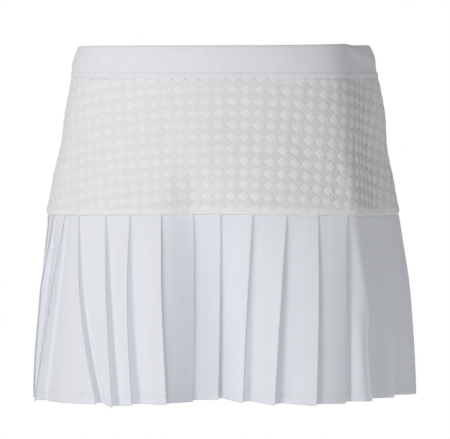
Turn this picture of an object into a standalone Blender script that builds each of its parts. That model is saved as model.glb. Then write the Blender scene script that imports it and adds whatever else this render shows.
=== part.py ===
"""Pleated tennis skort: knit waistband, mesh hip yoke, knife-pleated skirt and inner shorts.

The garment keeps the hollow form it has when worn. +Z is up, -Y is the front, and +X is the
wearer's left, so the front faces -Y. The origin is the centre of the waist opening, level with
the top edge of the waistband. Every cut piece is one closed wall, and neighbouring pieces stop
SEAM_GAP apart. Sizes below are in millimetres and become metres in add_piece().
"""

from collections import namedtuple
from math import cos, degrees, pi, radians, sin, sqrt

import bpy
import numpy as np

MM = 0.001

# Driving dimensions
SEAM_GAP = 0.3          # clear space between two pieces where they are sewn together
BAND_HEIGHT = 30.5      # waistband, top edge to lower edge
BAND_WALL = 2.8         # folded knit and elastic
BAND_FLANGE = 5.6       # turned lower edge of the waistband, below its groove
YOKE_WALL = 1.2         # mesh
YOKE_BOTTOM = 159.0     # yoke seam at the centre front, below the waist
YOKE_SIDE_DIP = 4.0     # how much lower that seam lies at the sides
SKIRT_LENGTH = 340.0    # hem below the waist, where a fold neither rises nor drops
PLEAT_WALL = 1.0        # pleated jersey
LAYER_GAP = 0.5         # clear space between the layers of a pressed pleat
LAYER = PLEAT_WALL + LAYER_GAP
STATIONS = 6            # stations that a pleat gives to the cloth's path
TUCK_CLEAR = 6.0        # least length of panel between a valley and the next inner fold
TOP_TUCK = 12.0         # how far a pleat lies under its neighbour at the yoke seam
TOP_SHOWN = 2.5         # how far from the fold a panel has come out flat there
VALLEY_RISE = 1.5       # the hem of a valley hangs this much higher than its fold
SHORTS_WALL = 1.2
LEG_FOLLOW = 0.45       # a leg is drawn in by this share of a trough's depth
CROTCH_START = 150.0    # below this level the rise curves in towards the crotch
CROTCH_DEPTH = 245.0
SHORTS_LENGTH = 305.0
COLUMNS = 24            # steps in half the girth

# The worn outer form: half width, and depth to the front and to the back, at levels below the waist
Level = namedtuple("Level", "down half_width front back")
BODY = (
    Level(0, 142.6, 102, 102),
    Level(31, 148.4, 105, 108),
    Level(64, 154.6, 108, 114),
    Level(98, 158.6, 111, 119),
    Level(128, 164.9, 114, 123),
    Level(163, 170.9, 117, 127),
    Level(192, 174.3, 119, 130),
    Level(217, 177.5, 121, 132),
    Level(278, 182.2, 125, 137),
    Level(340, 186.0, 129, 141),
)

# Soft upright troughs in the worn form, which all its layers follow: the middle's angle, how far
# it spreads to each side, the levels where it starts and ends, and its depth
Trough = namedtuple("Trough", "angle spread start end depth")
TROUGHS = (
    Trough(68, 26, -60, 430, 16.5),     # the flatter facet behind the left hip
    Trough(-16, 10, 105, 215, 2.0),
    Trough(-62, 11, 50, 190, 1.6),
    Trough(124, 12, 70, 215, 2.6),
    Trough(171, 11, 100, 205, 1.8),
    Trough(236, 12, 60, 200, 2.4),
)

# Outer surface of the waistband: distance down, and how far inside the worn form (minus is proud)
Point = namedtuple("Point", "down depth")
BAND_OUTSIDE = (
    Point(0.0, 0.9),
    Point(1.2, 0.0),
    Point(BAND_HEIGHT - BAND_FLANGE - 0.7, 0.0),
    Point(BAND_HEIGHT - BAND_FLANGE, 0.7),
    Point(BAND_HEIGHT - BAND_FLANGE + 0.8, -0.5),
    Point(BAND_HEIGHT - 0.8, -0.5),
    Point(BAND_HEIGHT, 0.1),
)
BAND_INSIDE = (
    Point(BAND_HEIGHT, BAND_WALL - 0.3),
    Point(BAND_HEIGHT - 1.2, BAND_WALL),
    Point(1.2, BAND_WALL),
    Point(0.0, BAND_WALL - 0.9),
)

# Folds of the front, from the wearer's right to the left. A fold stands at an angle round the
# form: 0 is the centre front and 90 the wearer's left side. seam, middle and hem say where it
# stands at the yoke seam, halfway down and at the hem. At the hem, sink is how far the fold lies
# inside the worn form, rise how much its hem is lifted, tuck how far the next panel runs back
# under it, shown how much of that panel's slope shows, and valley the depth where it ends.
Pleat = namedtuple("Pleat", "seam middle hem sink rise tuck shown valley")
FRONT_PLEATS = (
    Pleat(-72.8, -82.0, -94.0, 0, -1.0, 8, 6, 8),
    Pleat(-63.0, -68.8, -79.0, 0, -2.5, 7, 18, 8),
    Pleat(-53.7, -48.8, -40.6, 0, 1.0, 9, 6, 8),
    Pleat(-40.9, -37.8, -34.6, 0, -1.5, 9, 6, 7),
    Pleat(-31.2, -30.4, -27.8, 1, 1.0, 9, 8, 8),
    Pleat(-20.2, -18.8, -16.8, 0, 2.3, 3, 3, 4),
    Pleat(-10.0, -9.8, -10.4, 13, 3.2, 7, 8, 18),
    Pleat(-0.9, -1.2, -1.8, 8, 4.6, 8, 5, 14),
    Pleat(9.4, 7.4, 6.1, 2, 3.2, 9, 8, 9),
    Pleat(20.4, 17.5, 15.4, 0, 1.7, 9, 9, 7),
    Pleat(31.2, 29.9, 28.1, 0, 0.7, 3, 3, 4),
    Pleat(43.0, 41.6, 40.5, 8, 1.0, 8, 7, 12),
    Pleat(65.1, 53.0, 52.4, 1, 2.0, 9, 6, 9),
    Pleat(82.2, 76.4, 68.4, 2, 3.0, 9, 6, 9),
)

# Folds of the back are as many and as uneven, so they are stepped round from these
BACK_FIRST = 96.0       # angle of the first one at the yoke seam
BACK_COUNT = 16
BACK_STEP = 11.95        # from one fold to the next
BACK_UNEVEN = (0.0, 0.9, -0.6, 0.4, -0.9)            # added to that angle in turn
BACK_SWING = (-1.6, 1.1, 0.2, -0.9, 1.9, -0.4, 0.8)  # how far the hem of a fold swings round
BACK_FOLLOW = 3         # the last ones swing as the first of the front does; more means fewer
BACK_SINK = (1, 0, 5, 0, 2, 0, 9, 1, 0)
BACK_RISE = (2.5, 0.5, 1.5, -1.0, 0.0, 2.0, 1.0)
BACK_TUCK = 9
BACK_SHOWN = (6, 8, 5, 9, 7)
BACK_VALLEY = (6, 4, 6, 5, 7)   # deeper than the fold before it by this much

# How far down the skirt its rings stand, from the yoke seam to the hem
SKIRT_RINGS = (0.0, 0.14, 0.34, 0.58, 0.8, 1.0)

# Shorts: their outside lies this far inside the worn form down to the rise
Inset = namedtuple("Inset", "down depth")
SHORTS_INSET = (
    Inset(31, 1.6),
    Inset(64, 2.6),
    Inset(128, 3.6),
    Inset(163, 5.2),
    Inset(192, 10.0),
    Inset(245, 18.0),
)
# Each leg: middle of its ring across the body, and the ring's half width and half depth
Leg = namedtuple("Leg", "down middle half_width half_depth")
LEG = (
    Leg(CROTCH_START, 80, 79.8, 96),
    Leg(CROTCH_DEPTH, 79.4, 79.2, 93),
    Leg(275, 79.8, 75.5, 88),
    Leg(SHORTS_LENGTH, 80.5, 72.0, 84),
)
RISE_RINGS = (0.0, 0.32, 0.58, 0.78, 0.9, 0.97, 1.0)   # down the rise, closer near the crotch

# Colours of the cloths, with their roughness
BAND_CLOTH = ((0.82, 0.83, 0.86), 0.85)
MESH_CLOTH = ((0.79, 0.79, 0.79), 0.9)
PLEAT_CLOTH = ((0.80, 0.81, 0.85), 0.8)
SHORTS_CLOTH = ((0.80, 0.80, 0.81), 0.85)


def read(table, down, column):
    """Value of a table's column at a level below the waist."""
    downs = [row.down for row in table]
    values = [getattr(row, column) for row in table]
    return float(np.interp(down, downs, values))


def blend(start, end, share):
    return start + (end - start) * share


def trough_depth(angle, down):
    """How deep the troughs are at an angle in radians and a level."""
    depth = 0.0
    for trough in TROUGHS:
        away = (degrees(angle) - trough.angle + 180) % 360 - 180
        along = (down - trough.start) / (trough.end - trough.start)
        if abs(away) < trough.spread and 0 < along < 1:
            depth += trough.depth * cos(pi / 2 * away / trough.spread) ** 2 * sin(pi * along)
    return depth


def form_point(angle, down, depth=0.0):
    """Point on the worn form, or inside it by depth, at an angle in radians from the front."""
    depth += trough_depth(angle, down)
    side = read(BODY, down, "half_width")
    reach = read(BODY, down, "front" if cos(angle) > 0 else "back")
    inward = np.array([-sin(angle) / side, cos(angle) / reach])
    inward /= np.linalg.norm(inward)
    x = side * sin(angle) + inward[0] * depth
    y = -reach * cos(angle) + inward[1] * depth
    return (x, y, -down)


def girth(down):
    """Angles round the form, and the length along it from the centre front, at one level."""
    angles = np.radians(np.linspace(-180.0, 360.0, 1081))
    points = np.array([form_point(angle, down)[:2] for angle in angles])
    steps = np.linalg.norm(np.diff(points, axis=0), axis=1)
    lengths = np.concatenate([[0.0], np.cumsum(steps)])
    return angles, lengths - np.interp(0.0, angles, lengths)


def yoke_seam(angle):
    """How far down the seam between yoke and skirt lies."""
    return YOKE_BOTTOM + YOKE_SIDE_DIP * sin(angle) ** 2


def add_piece(name, points, faces, cloth):
    """One closed piece from points in millimetres."""
    mesh = bpy.data.meshes.new(name)
    mesh.from_pydata([tuple(MM * value for value in point) for point in points], [], faces)
    mesh.validate()
    colour, roughness = cloth
    material = bpy.data.materials.new(name + "_cloth")
    material.use_nodes = True
    shader = material.node_tree.nodes["Principled BSDF"]
    shader.inputs["Base Color"].default_value = (*colour, 1.0)
    shader.inputs["Roughness"].default_value = roughness
    shader.inputs["Metallic"].default_value = 0.0
    mesh.materials.append(material)
    mesh.shade_smooth()
    mesh.set_sharp_from_angle(angle=radians(40))
    piece = bpy.data.objects.new(name, mesh)
    bpy.context.scene.collection.objects.link(piece)
    return piece


def add_wall(name, rings, cloth):
    """Closed wall from rings, top to bottom; a ring is (outside points, inside points)."""
    count = len(rings[0][0])
    points = []
    for outside, inside in rings:
        points += list(outside) + list(inside)

    def outer(ring, column):
        return ring * 2 * count + column

    def inner(ring, column):
        return outer(ring, column) + count

    faces = []
    last = len(rings) - 1
    for ring in range(last):
        for column in range(count - 1):
            faces.append((outer(ring, column), outer(ring + 1, column),
                          outer(ring + 1, column + 1), outer(ring, column + 1)))
            faces.append((inner(ring, column), inner(ring, column + 1),
                          inner(ring + 1, column + 1), inner(ring + 1, column)))
        faces.append((outer(ring, 0), inner(ring, 0), inner(ring + 1, 0), outer(ring + 1, 0)))
        end = count - 1
        faces.append((outer(ring, end), outer(ring + 1, end), inner(ring + 1, end), inner(ring, end)))
    for column in range(count - 1):
        faces.append((outer(0, column), outer(0, column + 1), inner(0, column + 1), inner(0, column)))
        faces.append((outer(last, column), inner(last, column),
                      inner(last, column + 1), outer(last, column + 1)))
    return add_piece(name, points, faces, cloth)


def half_columns(start, down):
    """Angles across one half of the girth, from a side seam at start to the other one."""
    half_gap = SEAM_GAP / 2 / read(BODY, down, "front")
    angles = [start + pi * step / COLUMNS for step in range(COLUMNS + 1)]
    angles[0] += half_gap
    angles[-1] -= half_gap
    return angles


def add_waistband(name, start):
    """Half of the waistband: a turned profile with a groove above its lower edge."""
    profile = BAND_OUTSIDE + BAND_INSIDE
    columns = half_columns(start, 0.0)
    points = []
    for angle in columns:
        points += [form_point(angle, corner.down, corner.depth) for corner in profile]
    count = len(profile)
    faces = []
    for column in range(len(columns) - 1):
        for corner in range(count):
            here = column * count + corner
            below = column * count + (corner + 1) % count
            faces.append((here, below, below + count, here + count))
    faces.append(tuple(reversed(range(count))))
    faces.append(tuple(range((len(columns) - 1) * count, len(columns) * count)))
    return add_piece(name, points, faces, BAND_CLOTH)


def add_yoke(name, start):
    """Half of the yoke, from just under the waistband to just above the pleats."""
    top = BAND_HEIGHT + SEAM_GAP
    rings = []
    for share in np.linspace(0.0, 1.0, 6):
        outside, inside = [], []
        for angle in half_columns(start, YOKE_BOTTOM):
            down = blend(top, yoke_seam(angle) - SEAM_GAP / 2, share)
            outside.append(form_point(angle, down))
            inside.append(form_point(angle, down, YOKE_WALL))
        rings.append((outside, inside))
    return add_wall(name, rings, MESH_CLOTH)


def back_pleats():
    """Folds round the back, stepped from the values above."""
    pleats = []
    front_swing = FRONT_PLEATS[0].hem - FRONT_PLEATS[0].seam
    for index in range(BACK_COUNT):
        seam = BACK_FIRST + BACK_STEP * index + BACK_UNEVEN[index % len(BACK_UNEVEN)]
        followed = ((index + 1) / BACK_COUNT) ** BACK_FOLLOW
        swing = BACK_SWING[index % len(BACK_SWING)] * (1 - followed) + front_swing * followed
        sink = BACK_SINK[index % len(BACK_SINK)]
        before = BACK_SINK[(index - 1) % len(BACK_SINK)] if index else 0
        pleats.append(Pleat(
            seam, seam + 0.4 * swing, seam + swing, sink, BACK_RISE[index % len(BACK_RISE)],
            BACK_TUCK, BACK_SHOWN[index % len(BACK_SHOWN)],
            max(sink, before) + BACK_VALLEY[index % len(BACK_VALLEY)]))
    return tuple(pleats)


def fold_angle(pleat, share):
    """Angle of a fold part of the way down: a smooth curve through its three places."""
    start = pleat.seam * (1 - share) * (1 - 2 * share)
    middle = pleat.middle * 4 * share * (1 - share)
    end = pleat.hem * share * (2 * share - 1)
    return radians(start + middle + end)


# A pleat at one level: its fold, the inner fold behind it, and the valley in front of that
Fold = namedtuple("Fold", "at depth inner_at valley_at valley lift low_lift")


def pleat_at(pleat, share, angles, lengths):
    """Where a pleat's folds stand at one level, as lengths round the form and depths inside it."""
    opened = share ** 0.75
    at = float(np.interp(fold_angle(pleat, share), angles, lengths))
    depth = PLEAT_WALL / 2 + pleat.sink * opened
    return Fold(
        at, depth,
        at - blend(TOP_TUCK, pleat.tuck, opened),
        at + blend(TOP_SHOWN, pleat.shown, opened),
        max(blend(PLEAT_WALL / 2, pleat.valley, opened), depth + 2 * LAYER),
        pleat.rise * share ** 2,
        (pleat.rise + VALLEY_RISE) * share ** 2)


def keep_clear(folds):
    """Shorten each tuck that would reach the valley of the fold before it."""
    clear = [folds[0]]
    for fold in folds[1:]:
        nearest = clear[-1].valley_at + TUCK_CLEAR
        clear.append(fold._replace(inner_at=max(fold.inner_at, nearest)))
    return clear


def pleat_path(folds):
    """Middle line of the pleated cloth at one level, as (length round, depth, lift) stations.

    Each pleat gives its fold, which turns back under the panel, the inner fold where the next
    panel starts, the valley where that panel comes out, and a station over the next inner fold.
    """
    stations = []
    for fold, following in zip(folds, folds[1:]):
        ahead = max(following.inner_at - 1.0, blend(fold.valley_at, following.at, 0.3))
        slope = (following.depth - fold.valley) / (following.at - fold.valley_at)
        depth = min(fold.valley + slope * (ahead - fold.valley_at), following.valley - 2 * LAYER)
        stations += [
            (fold.at, fold.depth, fold.lift),
            (fold.at, fold.depth + LAYER, fold.lift),
            (fold.inner_at, fold.valley - LAYER, fold.low_lift),
            (fold.inner_at, fold.valley, fold.low_lift),
            (fold.valley_at, fold.valley, fold.low_lift),
            (ahead, depth, blend(fold.low_lift, following.lift, 0.5)),
        ]
    return stations


def thicken(stations, half_wall):
    """Two sides of a path in the plane of (length round, depth), mitred at its corners."""
    path = np.array([station[:2] for station in stations])
    along = np.diff(path, axis=0)
    along /= np.linalg.norm(along, axis=1)[:, None]
    before = np.vstack([along[:1], along])
    after = np.vstack([along, along[-1:]])
    normal_before = np.column_stack([before[:, 1], -before[:, 0]])
    normal_after = np.column_stack([after[:, 1], -after[:, 0]])
    mitre = normal_before + normal_after
    mitre /= (1.0 + np.sum(normal_before * normal_after, axis=1))[:, None]
    return path + mitre * half_wall, path - mitre * half_wall


def skirt_ring(pleats, share, first, last):
    """Outside and inside points of one ring of the skirt, between two pleats' inner panels."""
    level = blend(YOKE_BOTTOM, SKIRT_LENGTH, share)
    angles, lengths = girth(level)
    whole_turn = np.interp(2 * pi, angles, lengths)
    folds = [pleat_at(pleat, share, angles, lengths) for pleat in pleats]
    again = [fold._replace(at=fold.at + whole_turn, inner_at=fold.inner_at + whole_turn,
                           valley_at=fold.valley_at + whole_turn) for fold in folds]
    stations = pleat_path(keep_clear(folds + again[:2]))

    def hidden(pleat_index, sign):
        """Station on the hidden start of a panel, half a seam gap from its middle."""
        inner = stations[pleat_index * STATIONS + 3]
        valley = stations[pleat_index * STATIONS + 4]
        part = 0.3 + sign * SEAM_GAP / 2 / (valley[0] - inner[0])
        return tuple(blend(a, b, part) for a, b in zip(inner, valley))

    piece = stations[first * STATIONS + 4:last * STATIONS + 4]
    piece = [hidden(first, 1)] + piece + [hidden(last, -1)]
    outside, inside = [], []
    for side, points in zip(thicken(piece, PLEAT_WALL / 2), (outside, inside)):
        for (at, depth), (_, _, lift) in zip(side, piece):
            angle = np.interp(at, lengths, angles)
            top = yoke_seam(angle) + SEAM_GAP / 2
            points.append(form_point(angle, blend(top, SKIRT_LENGTH, share) - lift, depth))
    return outside, inside


def add_skirt(name, pleats, first, last):
    rings = [skirt_ring(pleats, share, first, last) for share in SKIRT_RINGS]
    return add_wall(name, rings, PLEAT_CLOTH)


def shorts_ring(down, side):
    """Outside and inside points of one leg panel at one level; side is 1 for the wearer's left.

    Above the rise the panel is half of the torso's ring. Down the rise its two edges draw
    together, and below the crotch they meet in the inside leg seam.
    """
    fall = min(max((down - CROTCH_START) / (CROTCH_DEPTH - CROTCH_START), 0.0), 1.0)
    share = 1.0 - sqrt(1.0 - fall ** 2)
    depth = read(SHORTS_INSET, down, "depth")
    middle = read(LEG, down, "middle")
    half_width = read(LEG, down, "half_width")
    half_depth = read(LEG, down, "half_depth")
    path = []
    for step in range(COLUMNS + 1):
        angle = pi * step / COLUMNS
        torso = np.array(form_point(side * angle, down, depth)[:2]) * (side, 1.0)
        drawn_in = LEG_FOLLOW * trough_depth(side * angle, down)
        leg = np.array([middle - (half_width - drawn_in) * cos(2 * angle),
                        -(half_depth - drawn_in) * sin(2 * angle)])
        path.append(blend(torso, leg, share))
    path = np.array(path)
    path[0] += (0.0, -SEAM_GAP / 2 * share)
    path[-1] += (0.0, SEAM_GAP / 2 * share)
    path[:, 0] = np.maximum(path[:, 0], SEAM_GAP / 2)
    along = np.gradient(path, axis=0)
    inward = np.column_stack([-along[:, 1], along[:, 0]])
    inward /= np.linalg.norm(inward, axis=1)[:, None]
    inner_path = path + inward * SHORTS_WALL
    inner_path[:, 0] = np.maximum(inner_path[:, 0], SEAM_GAP / 2)
    outside = [(side * x, y, -down) for x, y in path]
    inside = [(side * x, y, -down) for x, y in inner_path]
    if side < 0:
        outside.reverse()
        inside.reverse()
    return outside, inside


def add_shorts(name, side):
    levels = [BAND_HEIGHT + SEAM_GAP, 64.0, 98.0]
    levels += [blend(CROTCH_START, CROTCH_DEPTH, share) for share in RISE_RINGS]
    levels += [272.0, SHORTS_LENGTH]
    return add_wall(name, [shorts_ring(down, side) for down in levels], SHORTS_CLOTH)


def build_skort():
    for old in list(bpy.data.objects):
        bpy.data.objects.remove(old, do_unlink=True)
    left_side, right_side = pi / 2, -pi / 2
    add_waistband("waistband_front", right_side)
    add_waistband("waistband_back", left_side)
    add_yoke("yoke_front", right_side)
    add_yoke("yoke_back", left_side)
    pleats = FRONT_PLEATS + back_pleats()
    across_front = len(FRONT_PLEATS)
    add_skirt("skirt_front", pleats, 0, across_front)
    add_skirt("skirt_back", pleats, across_front, len(pleats))
    add_shorts("shorts_left", 1)
    add_shorts("shorts_right", -1)


build_skort()
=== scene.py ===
from collections import namedtuple
from math import atan2, cos, hypot, pi, radians, sin

import bpy
import numpy as np
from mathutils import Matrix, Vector


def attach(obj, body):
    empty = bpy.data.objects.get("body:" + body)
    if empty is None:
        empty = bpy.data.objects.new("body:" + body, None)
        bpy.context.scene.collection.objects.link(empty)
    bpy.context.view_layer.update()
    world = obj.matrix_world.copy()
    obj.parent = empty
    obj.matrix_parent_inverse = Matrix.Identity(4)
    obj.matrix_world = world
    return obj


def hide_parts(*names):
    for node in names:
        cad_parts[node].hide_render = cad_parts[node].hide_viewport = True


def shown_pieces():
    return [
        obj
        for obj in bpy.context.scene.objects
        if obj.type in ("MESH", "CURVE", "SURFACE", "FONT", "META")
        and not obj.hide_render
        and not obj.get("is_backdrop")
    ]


# Pleated tennis skort: knit waistband, rosette net yoke, knife pleats and inner shorts.
# Tables are in millimetres below the waist and degrees round the form: 0 is the centre front
# and 90 the wearer's left side. mm turns them into metres when a piece is made.
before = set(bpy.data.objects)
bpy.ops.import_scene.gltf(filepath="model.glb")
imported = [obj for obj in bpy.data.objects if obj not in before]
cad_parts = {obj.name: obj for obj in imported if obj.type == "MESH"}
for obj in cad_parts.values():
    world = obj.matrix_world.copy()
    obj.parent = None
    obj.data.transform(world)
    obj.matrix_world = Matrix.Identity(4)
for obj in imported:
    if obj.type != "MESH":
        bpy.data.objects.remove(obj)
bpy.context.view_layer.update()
bpy.ops.object.select_all(action="DESELECT")
scene = bpy.context.scene
mm = 0.001
print("skort: frame loaded")

# The worn form that every cloth follows
Level = namedtuple("Level", "down halfWidth front back")
bodyLevels = (
    Level(0, 142.6, 102, 102),
    Level(31, 148.4, 105, 108),
    Level(64, 154.6, 108, 114),
    Level(98, 158.6, 111, 119),
    Level(128, 164.9, 114, 123),
    Level(163, 170.9, 117, 127),
    Level(192, 174.3, 119, 130),
    Level(217, 177.5, 121, 132),
    Level(278, 182.2, 125, 137),
    Level(340, 186.0, 129, 141),
)
# Soft upright troughs in it: the middle's angle, spread to each side, start and end level, depth
Trough = namedtuple("Trough", "angle spread start end depth")
troughs = (
    Trough(69, 28, -60, 430, 15.5),
    Trough(-16, 10, 105, 215, 2.0),
    Trough(-62, 11, 50, 190, 1.6),
    Trough(124, 12, 70, 215, 2.6),
    Trough(171, 11, 100, 205, 1.8),
    Trough(236, 12, 60, 200, 2.4),
)
# Finer creases: where one starts and ends round the form and down it, how far it spreads
# in degrees, and its depth, minus for a ridge
Crease = namedtuple("Crease", "angle start endAngle end spread depth")
creases = (
    Crease(45, 95, 46, 168, 6, -1.3),
    Crease(46, 150, 55, 285, 5, -2.0),
    Crease(-48, 60, -44, 165, 7, -0.7),
    Crease(-33, 90, -30, 150, 6, 0.5),
    Crease(-5, 100, -4, 430, 16, 10.0),
    Crease(-11.5, 112, -9.5, 205, 8.5, 3.2),
    Crease(8, 110, 5, 162, 7, 0.5),
    Crease(27, 60, 30, 140, 7, 0.6),
    Crease(38, -90, 38, 215, 38, -5.0),
    Crease(88, 165, 88, 400, 26, -4.8),
    Crease(90, 8, 90, 100, 24, -2.1),
    Crease(142, 60, 150, 165, 8, 0.9),
    Crease(196, 95, 190, 160, 7, -0.8),
    Crease(214, 50, 220, 140, 7, 0.8),
    Crease(262, 60, 266, 165, 7, -0.9),
    Crease(-90, -10, -90, 115, 22, 1.6),
    Crease(-90, 175, -90, 250, 20, -2.0),
)
seam = {"yokeBottom": 159.0, "sideDip": 4.0, "bandHeight": 30.5, "skirtLength": 340.0, "gap": 0.3}


# Smooth curve through a table's column, carried on straight past its ends
def smoothRead(table, down, column):
    x = np.array([row.down for row in table], float)
    y = np.array([getattr(row, column) for row in table], float)
    slope = np.gradient(y, x)
    down = np.asarray(down, float)
    inside = np.clip(down, x[0], x[-1])
    i = np.clip(np.searchsorted(x, inside) - 1, 0, len(x) - 2)
    width = x[i + 1] - x[i]
    t = (inside - x[i]) / width
    value = ((1 + 2 * t) * (1 - t) ** 2 * y[i] + t * (1 - t) ** 2 * width * slope[i]
             + t * t * (3 - 2 * t) * y[i + 1] - t * t * (1 - t) * width * slope[i + 1])
    return value + np.where(down < x[0], slope[0], slope[-1]) * (down - inside)


def mix(start, end, share):
    return start + (end - start) * share


def ease(share):
    share = np.clip(share, 0.0, 1.0)
    return share * share * (3 - 2 * share)


# Degrees from a middle round the form, from -180 to 180
def turnedFrom(degrees, middle=0.0):
    return (degrees - middle + 180) % 360 - 180


# How far troughs and creases push the cloth in, at angles in radians and levels
def pushedIn(angle, down):
    depth = np.zeros(np.broadcast(angle, down).shape)
    turned = np.degrees(angle)
    for trough in troughs:
        away = turnedFrom(turned, trough.angle)
        along = (down - trough.start) / (trough.end - trough.start)
        inside = (np.abs(away) < trough.spread) & (along > 0) & (along < 1)
        shape = np.cos(pi / 2 * away / trough.spread) ** 2 * np.sin(pi * along)
        depth = depth + np.where(inside, trough.depth * shape, 0.0)
    for crease in creases:
        along = (down - crease.start) / (crease.end - crease.start)
        away = turnedFrom(turned, mix(crease.angle, crease.endAngle, along))
        inside = (np.abs(away) < crease.spread) & (along > 0) & (along < 1)
        lengthwise = np.sin(pi * np.clip(along, 0, 1)) ** 0.8
        shape = np.cos(pi / 2 * away / crease.spread) ** 2 * lengthwise
        depth = depth + np.where(inside, crease.depth * shape, 0.0)
    return depth


# Points on the worn form, or inside it by depth, for arrays of angles in radians
def formPoints(angle, down, depth=0.0):
    angle, down, depth = np.broadcast_arrays(angle, down, depth)
    depth = depth + pushedIn(angle, down)
    side = smoothRead(bodyLevels, down, "halfWidth")
    reach = np.where(np.cos(angle) > 0, smoothRead(bodyLevels, down, "front"),
                     smoothRead(bodyLevels, down, "back"))
    inwardX, inwardY = -np.sin(angle) / side, np.cos(angle) / reach
    size = np.hypot(inwardX, inwardY)
    x = side * np.sin(angle) + inwardX / size * depth
    y = -reach * np.cos(angle) + inwardY / size * depth
    return np.stack([x, y, -down], axis=-1)


# Length along a path of points, at each of them
def runAlong(points):
    return np.concatenate([[0.0], np.cumsum(np.linalg.norm(np.diff(points, axis=0), axis=1))])


# Angles round the form, and the length along it from the centre front, at one level
def girth(down):
    angles = np.radians(np.linspace(-180.0, 360.0, 1621))  # every third of a degree
    lengths = runAlong(formPoints(angles, down)[:, :2])
    return angles, lengths - np.interp(0.0, angles, lengths)


def yokeSeam(angle):
    return seam["yokeBottom"] + seam["sideDip"] * np.sin(angle) ** 2


# Common end of every piece: shading, finish, body, and the solids that it stands for
def finishPiece(piece, material, replaced=(), sharpAngle=None):
    bpy.ops.object.select_all(action="DESELECT")
    piece.select_set(True)
    bpy.context.view_layer.objects.active = piece
    if sharpAngle is None:
        bpy.ops.object.shade_smooth()
    else:
        bpy.ops.object.shade_smooth_by_angle(angle=radians(sharpAngle))
    piece.data.materials.clear()
    piece.data.materials.append(material)
    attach(piece, "root")
    if replaced:
        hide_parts(*replaced)
    bpy.ops.object.select_all(action="DESELECT")
    return piece


# UV map in metres of cloth, from each vertex's place on the flat cloth in mm
def layCloth(mesh, flat):
    corners = np.empty(len(mesh.loops), np.int32)
    mesh.loops.foreach_get("vertex_index", corners)
    layer = mesh.uv_layers.active or mesh.uv_layers.new()
    layer.name = "cloth"
    layer.data.foreach_set("uv", (flat.reshape(-1, 2)[corners] * mm).ravel())


# A sheet of cloth: a grid put where points (rows from the top, columns, xyz in mm) say, with its
# UV map, then given its wall inwards; thinned holds a share of the wall for each row
def clothSheet(name, points, flat, wall, thinned=None, marks=None):
    rows, columns = points.shape[:2]
    bpy.ops.mesh.primitive_grid_add(x_subdivisions=columns - 1, y_subdivisions=rows - 1, size=1)
    piece = bpy.context.object
    piece.name = piece.data.name = name
    mesh = piece.data
    mesh.vertices.foreach_set("co", (points[::-1].reshape(-1, 3) * mm).ravel())
    layCloth(mesh, flat[::-1])
    if marks is not None:
        mark = mesh.attributes.new("mark", "FLOAT", "POINT")
        mark.data.foreach_set("value", marks[::-1].ravel())
    mesh.update()
    solid = piece.modifiers.new("wall", "SOLIDIFY")
    solid.thickness = wall * mm
    solid.offset = -1.0
    solid.use_even_offset = True
    solid.use_quality_normals = True
    if thinned is not None:
        group = piece.vertex_groups.new(name="wall")
        for row, share in enumerate(thinned[::-1]):
            group.add(list(range(row * columns, (row + 1) * columns)), float(share), "REPLACE")
        solid.vertex_group = "wall"
    bpy.ops.object.modifier_apply(modifier="wall")
    piece.vertex_groups.clear()
    return piece


# A piece from points in mm and its faces
def pieceFrom(name, points, faces):
    mesh = bpy.data.meshes.new(name)
    mesh.from_pydata((points.reshape(-1, 3) * mm).tolist(), [], faces)
    mesh.update()
    piece = bpy.data.objects.new(name, mesh)
    scene.collection.objects.link(piece)
    return piece


# Cut a closed piece at planes, each a place and the way out of what's kept, and turn faces out
def trimPiece(piece, cuts=()):
    bpy.context.view_layer.objects.active = piece
    piece.select_set(True)
    bpy.ops.object.mode_set(mode="EDIT")
    for place, wayOut in cuts:
        bpy.ops.mesh.select_all(action="SELECT")
        bpy.ops.mesh.bisect(plane_co=place, plane_no=wayOut, use_fill=True, clear_outer=True)
    bpy.ops.mesh.select_all(action="SELECT")
    bpy.ops.mesh.normals_make_consistent(inside=False)
    bpy.ops.object.mode_set(mode="OBJECT")


# One piece of copies of a small pattern piece; places is (copies, its vertices, xyz in mm)
def joinedCopies(name, pattern, places):
    count = len(pattern.data.vertices)
    faces = [tuple(polygon.vertices) for polygon in pattern.data.polygons]
    copies = [tuple(index + start for index in face)
              for start in range(0, len(places) * count, count) for face in faces]
    bpy.data.objects.remove(pattern, do_unlink=True)
    return pieceFrom(name, places, copies)


# Materials: every cloth is one shader with a knit that follows its own UV map
def newMaterial(name, colour, roughness, sheen):
    material = bpy.data.materials.new(name)
    material.use_nodes = True
    shader = material.node_tree.nodes["Principled BSDF"]
    shader.inputs["Base Color"].default_value = (*colour, 1.0)
    shader.inputs["Roughness"].default_value = roughness
    shader.inputs["Specular IOR Level"].default_value = 0.25
    shader.inputs["Sheen Weight"].default_value = sheen
    shader.inputs["Sheen Roughness"].default_value = 0.5
    return material, shader


def addNode(owner, kind, values=(), **settings):
    node = owner.node_tree.nodes.new("ShaderNode" + kind)
    for key, value in settings.items():
        setattr(node, key, value)
    for key, value in dict(values).items():
        node.inputs[key].default_value = value
    return node


def join(owner, start, output, end, entry):
    owner.node_tree.links.new(start.outputs[output], end.inputs[entry])


# Every knit alike: how drawn out its streaks are, its yarn's fuzz, and the length of a wave
# texture of scale 1, in metres
knit = {"streakWidth": 0.06, "fuzz": 900.0, "fuzzShare": 0.5, "wave": 0.314}


# Waves of the knit at a pitch in mm, across the wales or along the courses
def knitWaves(material, pitch, distortion, direction):
    values = {"Scale": knit["wave"] / (pitch * mm), "Distortion": distortion, "Detail": 1.0}
    return addNode(material, "TexWave", values, wave_type="BANDS", bands_direction=direction)


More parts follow.
